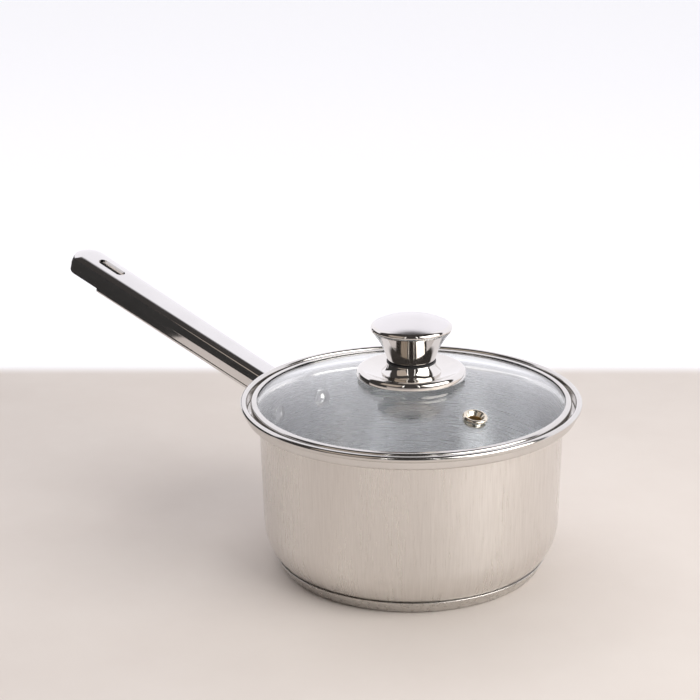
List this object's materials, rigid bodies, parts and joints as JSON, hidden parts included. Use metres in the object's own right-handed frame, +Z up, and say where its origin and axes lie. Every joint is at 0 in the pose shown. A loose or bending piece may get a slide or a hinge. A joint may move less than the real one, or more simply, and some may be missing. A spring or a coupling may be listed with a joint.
{
  "type": "saucepan with glass lid",
  "caption": "Round stainless steel saucepan with a long hollow handle and a domed glass lid with a steel rim, steam vent and waisted metal knob.",
  "frame": {"origin": "centre of the base's underside, on the surface that the pan stands on", "axes": "+Z up along the pan's axis; the handle lies along -X and rises; +Y completes the right-handed frame"},
  "size_m": [0.3345, 0.1756, 0.1331],
  "materials": {
    "satin_steel": "satin, fine vertical brushing",
    "base_steel": "fine turned finish",
    "polished_steel": "mirror polished stainless steel",
    "plain_steel": "plain pressed finish",
    "aluminium": "plain",
    "clear_glass": "clear tempered",
    "dark_seal": "matte",
    "clear_silicone": "translucent",
    "vent_steel": "polished, warm tint"
  },
  "bodies": {
    "pan": {"pan_shell": "satin_steel", "base_core": "aluminium", "base_cap": "base_steel", "handle_bracket": "plain_steel", "handle_rivets": "plain_steel", "handle_upper_shell": "polished_steel", "handle_lower_shell": "polished_steel"},
    "lid": {"lid_glass": "clear_glass", "lid_rim_band": "polished_steel", "lid_rim_seal": "dark_seal", "vent_eyelet": "vent_steel", "vent_gasket": "clear_silicone", "knob_plate": "polished_steel", "knob_collar": "polished_steel", "knob_spacer_ring": "dark_seal", "knob_body": "polished_steel", "knob_cap": "polished_steel", "knob_bush": "aluminium", "knob_screw": "plain_steel", "knob_washer": "plain_steel", "knob_upper_gasket": "clear_silicone", "knob_lower_gasket": "clear_silicone"}
  },
  "joints": [
    {"name": "lid_lift", "type": "slide", "parent": "pan", "child": "lid", "axis": [0, 0, 1], "range_m": [0, 0.12]}
  ]
}
